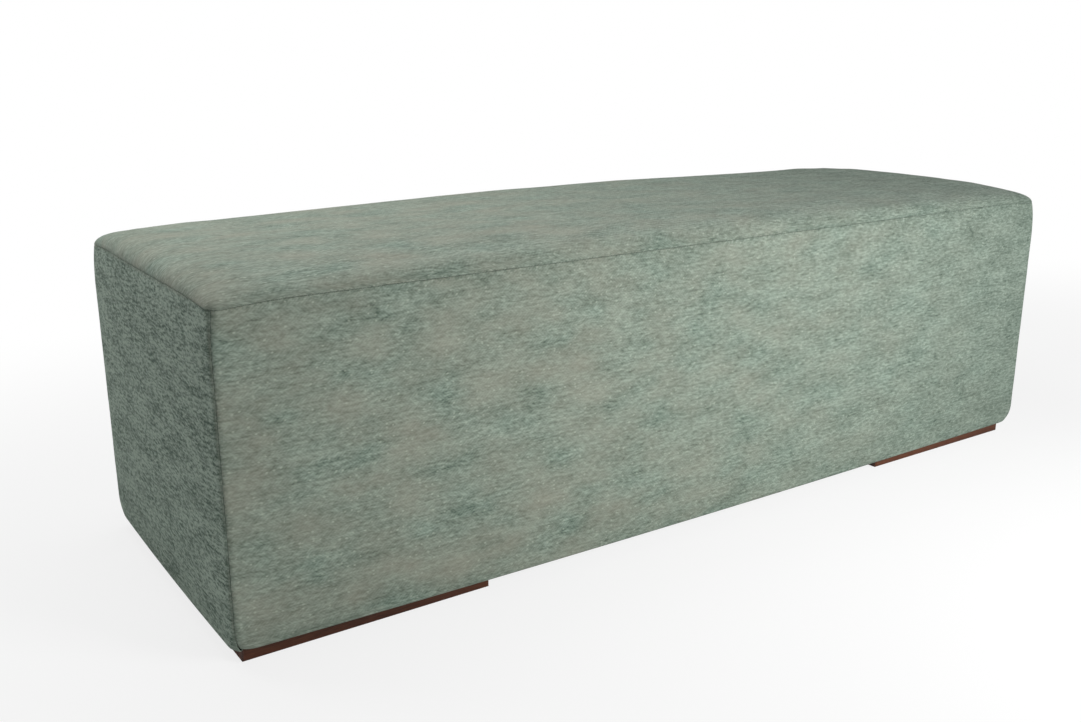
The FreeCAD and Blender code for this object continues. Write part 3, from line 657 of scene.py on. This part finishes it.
def tweed(cover, cloth):
    """Herringbone tweed: slubby wool-look yarns, dull and slightly hairy, pale nubs on grey green."""
    material, tree = start_material("herringbone_tweed")
    weave = add(tree, "UVMap", uv_map=WEAVE_MAP)
    warp_shows, roundness = twill(tree, weave, cloth)
    # Slubs run with the weft and give the cloth its streaks, over finer and broader unevenness.
    slubs = flecks(tree, weave, cloth.slub_length, cloth.slub_width, 2, 0.6, math.radians(-8))
    long_slubs = flecks(tree, weave, 50 * MM, 10 * MM, 1)
    grain = flecks(tree, weave, 6 * MM, 2.6 * MM, 1)
    cloudy = flecks(tree, weave, 70 * MM, 30 * MM, 1)
    lightness = -1.65
    for pattern, weight in ((slubs, 1.4), (long_slubs, 0.45), (grain, 0.9), (cloudy, 0.5), (warp_shows, 0.1)):
        lightness = add(tree, "Math", {0: pattern, 1: weight, 2: lightness}, operation="MULTIPLY_ADD")
    # The yarn contrast is raised on the end panels: painted light and shade standing in for the grazing light
    # over their weave.
    on_end = end_panels(tree, cover)
    grazing_contrast = add(tree, "Math", {0: on_end, 1: 0.9, 2: 1.0}, operation="MULTIPLY_ADD")
    lightness = add(tree, "Math", {0: lightness, 1: grazing_contrast, 2: 0.5}, operation="MULTIPLY_ADD",
                    use_clamp=True)
    # Broad beige patches, as hand-dyed yarns give, fade out towards the right and skip the ends.
    patches = add(tree, "MapRange", {"Value": flecks(tree, weave, 91 * MM, 52.6 * MM, 2), "From Min": 0.30,
                                     "From Max": 0.75, "To Max": 0.6})
    leftward = add(tree, "SeparateXYZ", {0: weave}, out="X")
    leftward = add(tree, "MapRange", {"Value": leftward, "From Min": 0.8, "From Max": -0.3})
    off_ends = add(tree, "Math", {0: 1.0, 1: on_end}, operation="SUBTRACT")
    for limit in (leftward, off_ends):
        patches = add(tree, "Math", {0: patches, 1: limit}, operation="MULTIPLY")
    nubs = wool_nubs(tree, weave)
    nubs_seen = add(tree, "Math", {0: nubs, 1: 0.32}, operation="MULTIPLY")
    # Painted seam shade: the stitch dimples and the spots beside each seam darken the cloth toward the dark
    # yarn.
    dimple, painted_seam_shade = seam_dimples_and_shade(tree, weave, cover)
    base = cloth.dark_yarn
    for shown, tint in ((lightness, cloth.light_yarn), (patches, cloth.warm_yarn), (nubs_seen, cloth.nub),
                        (painted_seam_shade, cloth.dark_yarn)):
        base = add(tree, "Mix", {0: shown, 6: base, 7: tint}, out=2, data_type="RGBA")
    height = slubs
    for pattern, weight in ((roundness, 0.7), (nubs, 0.5), (dimple, -0.8)):
        height = add(tree, "Math", {0: pattern, 1: weight, 2: height}, operation="MULTIPLY_ADD")
    return finish_material(material, base, height, 0.3 * MM, roughness=0.92, sheen=0.06, sheen_roughness=0.6,
                           specular=0.2)


class POUF_OT_cover(bpy.types.Operator):
    """Sew the five tweed panels of the cover over the stuffing"""
    bl_idname = "pouf.cover"
    bl_label = "Cover"

    def execute(self, context):
        cover, cloth = context.scene.pouf_cover, context.scene.pouf_cloth
        skin = lay_cover(cover)
        swell_cover(cover, skin)
        roll_seams(cover, skin)
        material = tweed(cover, cloth)
        top_width = 2 * crown_profile(cover)[-1][0]
        for index, side in enumerate(PANELS):
            panel = cut_panel(skin, index)
            if not panel.faces:
                raise RuntimeError(f"the {side} panel of the cover has no faces")
            piece = make_object(f"cover_{side}_tweed", panel, material)
            modify(piece, "SUBSURF", levels=1, render_levels=1)
            modify(piece, "SOLIDIFY", thickness=cover.cloth_thick, offset=-1)
            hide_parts("cover_" + side)
        skin.free()
        return {"FINISHED"}


# Seam thread

def seam_paths(cover):
    """Runs of the sewing line: round the top seam, side by side, and down the four corners."""
    sunk = 1.2 * cover.groove
    low = cover.lower_edge + cover.foot_round
    high = cover.seam_level - cover.corner_dip - cover.stitch_pitch
    paths = []
    for side in PANELS[1:]:
        half = half_run(cover, side)
        count = round(2 * half / (cover.stitch_pitch / 2))
        top_seam = []
        for step in range(count + 1):
            along = 2 * step / count - 1
            level = cover.seam_level - seam_dip(cover, half * (1 - abs(along)))
            top_seam.append(on_outline(cover, side, along, cover.seam_tuck + sunk, cover.seam_radius - sunk,
                                       level))
        count = round((high - low) / (cover.stitch_pitch / 2))
        corner = []
        for step in range(count + 1):
            level = low + (high - low) * step / count
            inset, radius = side_profile(cover, level)
            corner.append(on_outline(cover, side, 1, inset + sunk, max(radius - sunk, MM), level))
        paths += [top_seam, corner]
    return paths


def thread_material(finishes):
    """Bonded polyester sewing thread: grey green, twisted, with a faint gloss."""
    lighter = [min(1, part * 1.8) for part in finishes.thread]
    return speckled("bonded_polyester_thread", 1.2 * MM, 2, finishes.thread, lighter, 0.1 * MM,
                    roughness=0.55)


class POUF_OT_seam_thread(bpy.types.Operator):
    """Lay the stitches at the bottom of the seam grooves"""
    bl_idname = "pouf.seam_thread"
    bl_label = "Seam thread"

    def execute(self, context):
        cover = context.scene.pouf_cover
        bm = bmesh.new()
        for path in seam_paths(cover):
            for start, end in zip(path[::2], path[1::2]):
                run = end - start
                turn = run.to_track_quat("Z", "Y").to_matrix().to_4x4()
                bmesh.ops.create_cone(bm, cap_ends=True, segments=6, depth=run.length * 1.5,
                                      radius1=cover.stitch_thick / 2, radius2=cover.stitch_thick / 2,
                                      matrix=Matrix.Translation((start + end) / 2) @ turn)
        if not bm.faces:
            raise RuntimeError("the seam thread has no stitches")
        smooth_faces(bm)
        piece = make_object("seam_thread", bm, thread_material(context.scene.pouf_finishes))
        return {"FINISHED"}


# Foam and wadding

def foam_material():
    """Cut polyurethane foam: matt, pale straw colour, open cells under a millimetre, drawn at 2 mm."""
    material, tree = start_material("cut_polyurethane_foam")
    cells = add(tree, "TexVoronoi", {"Vector": object_point(tree, 2 * MM), "Scale": 1.0})
    tone = add(tree, "TexNoise", {"Vector": object_point(tree, 111 * MM), "Scale": 1.0, "Detail": 3.0})
    tone = add(tree, "Math", {0: cells, 1: 0.5, 2: tone}, operation="MULTIPLY_ADD")
    base = add(tree, "Mix", {0: tone, 6: linear("#cdbf90"), 7: linear("#efe6c4")}, out=2, data_type="RGBA")
    return finish_material(material, base, cells, 0.6 * MM, roughness=0.95)


def wadding_material():
    """Polyester wadding: bright white, crimped fibres tangled flat, soft and matt."""
    material, tree = start_material("polyester_wadding")
    place = object_point(tree, 25 * MM)
    bent = add(tree, "TexNoise", {"Vector": place, "Scale": 1.0, "Detail": 2.0}, out="Color")
    place = add(tree, "VectorMath", {0: object_point(tree, 6.25 * MM), 1: bent}, operation="ADD")
    fibres = add(tree, "TexNoise", {"Vector": place, "Scale": 2.0, "Detail": 6.0, "Roughness": 0.75})
    base = add(tree, "Mix", {0: fibres, 6: linear("#cfd3d4"), 7: linear("#f4f6f5")}, out=2, data_type="RGBA")
    return finish_material(material, base, fibres, 1.2 * MM, roughness=0.9, sheen=0.2)


def keep_inside(cover, point, depth):
    """Move a point that stands proud back to a depth under the cloth."""
    inset, radius = side_profile(cover, min(max(point.z, cover.lower_edge), cover.seam_level))
    draw_in(point, cover.length / 2 - inset - depth, cover.depth / 2 - inset - depth, radius)
    point.z = min(point.z, ceiling(cover, point.x, point.y) - depth)


def soften(cover, node, name, material, cell, depth):
    """A padded piece in place of a CAD solid: cut edges rounded off, faces uneven, kept under the cloth."""
    unevenness, bump_pitch = 0.4 * MM, 25 * MM
    bm = bmesh.new()
    bm.from_mesh(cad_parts[node].data)
    bmesh.ops.remove_doubles(bm, verts=bm.verts, dist=0.01 * MM)
    piece = make_object(name, bm, material)
    modify(piece, "REMESH", mode="VOXEL", voxel_size=cell, use_smooth_shade=True)
    modify(piece, "SMOOTH", factor=0.5, iterations=3)
    rounded = bpy.data.meshes.new_from_object(piece.evaluated_get(bpy.context.evaluated_depsgraph_get()))
    piece.modifiers.clear()
    bm = bmesh.new()
    bm.from_mesh(rounded)
    for vert in bm.verts:
        vert.co += vert.normal * unevenness * noise.noise(vert.co / bump_pitch)
        keep_inside(cover, vert.co, depth)
    bm.to_mesh(rounded)
    bm.free()
    piece.data = rounded
    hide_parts(node)
    return piece


class POUF_OT_padding(bpy.types.Operator):
    """Cut the foams and wrap the wadding under the cover"""
    bl_idname = "pouf.padding"
    bl_label = "Foam and wadding"

    def execute(self, context):
        cover, foam, wadding = context.scene.pouf_cover, foam_material(), wadding_material()
        under_cloth, under_wadding = cover.groove + cover.cloth_thick + MM, cover.groove + 6 * MM
        soften(cover, "seat_wadding", "seat_wadding_fibre", wadding, 4 * MM, under_cloth)
        soften(cover, "seat_foam", "seat_foam_block", foam, 6 * MM, under_wadding)
        for side in PANELS[1:]:
            soften(cover, f"side_foam_{side}", f"side_foam_{side}_soft", foam, 4 * MM, under_cloth)
        return {"FINISHED"}


# Timber, boards and fasteners inside

# How much the figure of the wood stretches along each axis, by the axis that the grain follows.
GRAIN_ALONG = {"x": (1 / 0.06, 1, 1), "y": (1, 1 / 0.06, 1), "z": (1, 1, 1 / 0.06)}


def wood(name, light, dark, grain, ring, **surface):
    """Sawn wood with its grain along one axis: growth rings of a given width, and fine pores."""
    material, tree = start_material(f"{name}_{grain}")

    def stretched(size):
        return object_point(tree, [size * part for part in GRAIN_ALONG[grain]])

    bend = add(tree, "TexNoise", {"Vector": stretched(143 * MM), "Scale": 1.0, "Detail": 2.0})
    rings = add(tree, "SeparateXYZ", {0: stretched(ring)}, out="X" if grain == "y" else "Y")
    rings = add(tree, "Math", {0: bend, 1: 9.0, 2: rings}, operation="MULTIPLY_ADD")
    rings = add(tree, "Math", {0: rings, 1: 1.0}, operation="PINGPONG")
    pores = add(tree, "TexNoise", {"Vector": stretched(1.11 * MM), "Scale": 1.0, "Detail": 3.0,
                                   "Roughness": 0.7})
    tone = add(tree, "Math", {0: rings, 1: 0.5, 2: pores}, operation="MULTIPLY_ADD")
    tone = add(tree, "MapRange", {"Value": tone, "From Min": 0.35, "From Max": 1.1})
    base = add(tree, "Mix", {0: tone, 6: dark, 7: light}, out=2, data_type="RGBA")
    return finish_material(material, base, pores, 0.15 * MM, **surface)


def plywood():
    """Birch plywood: pale rotary-cut faces, and edges striped by veneers 1.5 mm thick."""
    material, tree = start_material("birch_plywood")
    figure = add(tree, "TexNoise", {"Vector": object_point(tree, (500 * MM, 38.5 * MM, 1)), "Scale": 1.0,
                                    "Detail": 5.0})
    face_tone = add(tree, "Mix", {0: figure, 6: linear("#c79f69"), 7: linear("#e6cfa2")}, out=2,
                    data_type="RGBA")
    plies = add(tree, "SeparateXYZ", {0: object_point(tree, 1.5 * MM)}, out="Z")
    plies = add(tree, "Math", {0: plies, 1: 1.0}, operation="PINGPONG")
    plies = add(tree, "MapRange", {"Value": plies, "From Min": 0.35, "From Max": 0.65})
    edge_tone = add(tree, "Mix", {0: plies, 6: linear("#8d6238"), 7: linear("#dfc493")}, out=2,
                    data_type="RGBA")
    upward = add(tree, "SeparateXYZ", {0: add(tree, "NewGeometry", out="Normal")}, out="Z")
    upward = add(tree, "Math", {0: upward}, operation="ABSOLUTE")
    on_face = add(tree, "Math", {0: upward, 1: 0.5}, operation="GREATER_THAN")
    base = add(tree, "Mix", {0: on_face, 6: edge_tone, 7: face_tone}, out=2, data_type="RGBA")
    return finish_material(material, base, figure, 0.1 * MM, roughness=0.62)


def hardboard():
    """Tempered hardboard: pressed brown wood fibre, smooth, with a dull sheen."""
    material, tree = start_material("pressed_hardboard")
    fibres = add(tree, "TexNoise", {"Vector": object_point(tree, 3.33 * MM), "Scale": 1.0, "Detail": 6.0,
                                    "Roughness": 0.7})
    cloudy = add(tree, "TexNoise", {"Vector": object_point(tree, 83 * MM), "Scale": 1.0, "Detail": 2.0})
    tone = add(tree, "Math", {0: cloudy, 1: 0.4, 2: fibres}, operation="MULTIPLY_ADD")
    tone = add(tree, "MapRange", {"Value": tone, "From Min": 0.4, "From Max": 1.0})
    base = add(tree, "Mix", {0: tone, 6: linear("#5d4128"), 7: linear("#946c45")}, out=2, data_type="RGBA")
    return finish_material(material, base, fibres, 0.1 * MM, roughness=0.5)


def plated_steel(name, tint, roughness):
    """Zinc-plated steel: bluish grey metal with faint clouding and rubbed spots."""
    darker = [part * 0.6 for part in tint]
    return speckled(name, 2.86 * MM, 3, darker, tint, 0.03 * MM, roughness=roughness, metallic=1.0)


def dress(nodes, material):
    """Give CAD nodes, by the start of their names, a material of their own."""
    found = [piece for name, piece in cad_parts.items() if name.startswith(tuple(nodes))]
    if not found:
        raise RuntimeError(f"no CAD node starts with {nodes}")
    for piece in found:
        piece.data.materials.clear()
        piece.data.materials.append(material)


class POUF_OT_carcass(bpy.types.Operator):
    """Finish the softwood frame, the deck, the skins and the staples"""
    bl_idname = "pouf.carcass"
    bl_label = "Frame and boards"

    def execute(self, context):
        finishes = context.scene.pouf_finishes
        pine = {grain: wood("sawn_pine", finishes.pine_light, finishes.pine_dark, grain, 5 * MM,
                            roughness=0.7) for grain in GRAIN_ALONG}
        dress(["bottom_rail", "top_rail", "corner_blocks"], pine["x"])
        dress(["bottom_bar", "top_bar"], pine["y"])
        dress(["post_"], pine["z"])
        dress(["seat_deck"], plywood())
        dress(["skin_"], hardboard())
        dress(["deck_staples"], plated_steel("galvanised_staple_wire", linear("#b9bdc0"), 0.35))
        return {"FINISHED"}


# Plinths

def felt():
    """Pressed wool felt: grey brown, hairy, quite matt."""
    return speckled("pressed_wool_felt", 1.43 * MM, 6, linear("#3d3730"), linear("#8a8072"), 0.4 * MM,
                    grit=0.8, roughness=0.95, sheen=0.3)


class POUF_OT_plinths(bpy.types.Operator):
    """Stain the plinths and finish their screws and felt glides"""
    bl_idname = "pouf.plinths"
    bl_label = "Plinths"

    def execute(self, context):
        finishes = context.scene.pouf_finishes
        stained = {grain: wood("stained_beech", finishes.plinth_light, finishes.plinth_dark, grain, 7 * MM,
                               roughness=0.45, coat=0.15, coat_roughness=0.3) for grain in "xy"}
        for end in ("left", "right"):
            dress([f"plinth_{end}_front", f"plinth_{end}_back"], stained["x"])
            dress([f"plinth_{end}_outer", f"plinth_{end}_inner"], stained["y"])
        dress(["plinth_screws"], plated_steel("zinc_plated_screws", linear("#c9c5b4"), 0.3))
        dress(["felt_pads"], felt())
        return {"FINISHED"}


# Underside

def dust_cloth_material(finishes):
    """Spun-bonded polypropylene: thin, black, dimpled all over by its bonding points."""
    material, tree = start_material("spun_bonded_dust_cloth")
    place = object_point(tree, 1.6 * MM)
    dimples = add(tree, "TexVoronoi", {"Vector": place, "Scale": 1.0, "Randomness": 0.15})
    fibres = add(tree, "TexNoise", {"Vector": object_point(tree, 4.55 * MM), "Scale": 1.0, "Detail": 5.0})
    paler = [part * 3 for part in finishes.dust_cloth]
    base = add(tree, "Mix", {0: fibres, 6: finishes.dust_cloth, 7: paler}, out=2, data_type="RGBA")
    return finish_material(material, base, dimples, 0.25 * MM, roughness=0.75)


def lay_dust_cloth():
    """The cloth under the frame, its corners folded in: tight at its edges, slack between the plinths."""
    corner_fold, most_slack, crease_share = 60 * MM, 3.5 * MM, 0.35
    # Creases in a metre along X and along Y.
    creases_x, creases_y = 9, 22
    low, high = DUST_BOX
    size = high - low
    slant = (size.x + size.y) / 2 - corner_fold
    gap = -PLINTH_BOX[1].x
    bm = bmesh.new()
    bmesh.ops.create_grid(bm, x_segments=140, y_segments=46, size=0.5)
    bmesh.ops.scale(bm, vec=(size.x, size.y, 1), verts=bm.verts)
    folded = [face for face in bm.faces
              if all(abs(vert.co.x) + abs(vert.co.y) > slant for vert in face.verts)]
    bmesh.ops.delete(bm, geom=folded, context="FACES")
    for vert in bm.verts:
        x, y = vert.co.x / gap, vert.co.y / (size.y / 2)
        slack = max(0, 1 - x * x) * max(0, 1 - y * y)
        creases = noise.noise(Vector((vert.co.x * creases_x, vert.co.y * creases_y, 3))) * crease_share
        vert.co.z = high.z - most_slack * slack * (1 + creases)
        past_fold = max(0, abs(vert.co.x) + abs(vert.co.y) - slant) / 2
        vert.co.x -= math.copysign(past_fold, vert.co.x)
        vert.co.y -= math.copysign(past_fold, vert.co.y)
    bmesh.ops.recalc_face_normals(bm, faces=bm.faces)
    smooth_faces(bm)
    return bm


def lay_staples():
    """Wire staples through the dust cloth, along its front and back edges."""
    crown, wire, pitch, leg = 10 * MM, 0.9 * MM, 62 * MM, 1.2 * MM
    from_edge, from_end = 5 * MM, 70 * MM
    low, high = DUST_BOX
    row, reach = high.y - from_edge, high.x - from_end
    count = round(2 * reach / pitch)
    to_leg = crown / 2 - wire / 2
    bars = (((0, 0, 0), (crown, wire, wire)),
            ((to_leg, 0, leg / 2), (wire, wire, leg)),
            ((-to_leg, 0, leg / 2), (wire, wire, leg)))
    bm = bmesh.new()
    for y in (-row, row):
        for step in range(count + 1):
            middle = Vector((-reach + 2 * reach * step / count, y, low.z - wire / 2))
            for shift, size in bars:
                place = Matrix.Translation(middle + Vector(shift)) @ Matrix.Diagonal((*size, 1))
                bmesh.ops.create_cube(bm, size=1, matrix=place)
    return bm


class POUF_OT_underside(bpy.types.Operator):
    """Staple the black dust cloth over the hems"""
    bl_idname = "pouf.underside"
    bl_label = "Underside"

    def execute(self, context):
        material = dust_cloth_material(context.scene.pouf_finishes)
        piece = make_object("dust_cloth", lay_dust_cloth(), material)
        modify(piece, "SOLIDIFY", thickness=0.6 * MM, offset=-1)
        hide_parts("dust_cover")
        wire = plated_steel("hem_staple_wire", linear("#c3c6c8"), 0.3)
        staples = make_object("dust_cloth_staples", lay_staples(), wire)
        return {"FINISHED"}


# Studio

# Each soft box: its place, the point it faces and its size.
SOFT_BOXES = {
    "key": ((0.26, -1.4, 0.55), (0.26, -0.24, 0.22), (0.7, 0.6)),
    "top": ((-0.5, 0.3, 1.7), (-0.35, 0, 0.43), (1.0, 0.8)),
    "side": ((-1.5, 0.9, 1.5), (-0.7, 0, 0.3), (0.6, 0.6)),
}
CAMERA_PLACE = (-1.032, -1.315, 0.663)


def add_soft_box(name, power):
    place, aim, size = SOFT_BOXES[name]
    lamp = bpy.data.lights.new(name + "_softbox", "AREA")
    lamp.shape, lamp.size, lamp.size_y = "RECTANGLE", *size
    lamp.energy = power
    holder = place_new(name + "_softbox", lamp)
    holder.location = place
    holder.rotation_euler = (Vector(aim) - Vector(place)).to_track_quat("-Z", "Y").to_euler()


def floor_material():
    """Matt white studio floor, which fades into the white background away from the pouf."""
    material, tree = start_material("white_studio_floor")
    place = add(tree, "TexCoord", out="Object")
    place = add(tree, "VectorMath", {0: place, 1: (0.55, 1.0, 1.0)}, operation="MULTIPLY")
    away = add(tree, "VectorMath", {0: place}, out="Value", operation="LENGTH")
    fade = add(tree, "MapRange", {"Value": away, "From Min": 0.5, "From Max": 1.5, "To Min": 0.8},
               interpolation_type="SMOOTHSTEP")
    seen = add(tree, "LightPath", out="Is Camera Ray")
    seen = add(tree, "Math", {0: seen, 1: fade}, operation="MULTIPLY")
    paint = add(tree, "BsdfDiffuse", {"Color": (0.86, 0.86, 0.86), "Roughness": 1.0})
    glow = add(tree, "Emission", {"Color": (1, 1, 1), "Strength": 1.0})
    mixed = add(tree, "MixShader", {0: seen, 1: paint, 2: glow})
    add(tree, "OutputMaterial", {"Surface": mixed})
    return material


def white_world(strength):
    """Plain light from all round, seen as white by the camera and in reflections."""
    world = bpy.data.worlds.new("white_room")
    world.use_nodes = True
    tree = world.node_tree
    tree.nodes.clear()
    direct, glossy, through = (add(tree, "LightPath", out=f"Is {ray} Ray")
                               for ray in ("Camera", "Glossy", "Transmission"))
    for ray in (glossy, through):
        direct = add(tree, "Math", {0: direct, 1: ray}, operation="MAXIMUM")
    light, white = (add(tree, "Background", {"Color": (1, 1, 1), "Strength": value})
                    for value in (strength, 1.0))
    mixed = add(tree, "MixShader", {0: direct, 1: light, 2: white})
    add(tree, "OutputWorld", {"Surface": mixed})
    return world


class POUF_OT_studio(bpy.types.Operator):
    """Set up the floor, the soft light and the camera"""
    bl_idname = "pouf.studio"
    bl_label = "Studio"

    def execute(self, context):
        scene, studio = context.scene, context.scene.pouf_studio
        bm = bmesh.new()
        bmesh.ops.create_grid(bm, x_segments=1, y_segments=1, size=9)
        floor = place_mesh("studio_floor", bm, floor_material())
        scene.world = white_world(studio.world_strength)
        for name in SOFT_BOXES:
            add_soft_box(name, getattr(studio, name + "_power"))
        lens = bpy.data.cameras.new("studio_camera")
        lens.sensor_width, lens.lens = 36, studio.lens
        lens.clip_start, lens.clip_end = 0.05, 60
        camera = place_new("studio_camera", lens)
        camera.location = CAMERA_PLACE
        camera.rotation_euler = (math.pi / 2 - studio.pitch, 0, -studio.yaw)
        scene.camera = camera
        scene.view_settings.view_transform = "Standard"
        return {"FINISHED"}


OPERATORS = (
    POUF_OT_studio,
    POUF_OT_padding,
    POUF_OT_cover,
    POUF_OT_seam_thread,
    POUF_OT_underside,
    POUF_OT_carcass,
    POUF_OT_plinths,
)
GROUPS = {
    "pouf_cover": PoufCover,
    "pouf_cloth": PoufCloth,
    "pouf_finishes": PoufFinishes,
    "pouf_studio": PoufStudio,
}


class POUF_PT_sidebar(bpy.types.Panel):
    """Lists the steps that build the pouf"""
    bl_idname = "POUF_PT_sidebar"
    bl_label = "Pouf"
    bl_space_type = "VIEW_3D"
    bl_region_type = "UI"
    bl_category = "Pouf"

    def draw(self, context):
        for operator in OPERATORS:
            self.layout.operator(operator.bl_idname)


def register():
    for group in GROUPS.values():
        bpy.utils.register_class(group)
    for operator in OPERATORS:
        bpy.utils.register_class(operator)
    bpy.utils.register_class(POUF_PT_sidebar)
    for name, group in GROUPS.items():
        setattr(bpy.types.Scene, name, PointerProperty(type=group))


def unregister():
    for name in GROUPS:
        delattr(bpy.types.Scene, name)
    bpy.utils.unregister_class(POUF_PT_sidebar)
    for operator in reversed(OPERATORS):
        bpy.utils.unregister_class(operator)
    for group in GROUPS.values():
        bpy.utils.unregister_class(group)


def main():
    register()
    for operator in OPERATORS:
        group, step = operator.bl_idname.split(".")
        getattr(getattr(bpy.ops, group), step)()


if __name__ == "__main__":
    main()
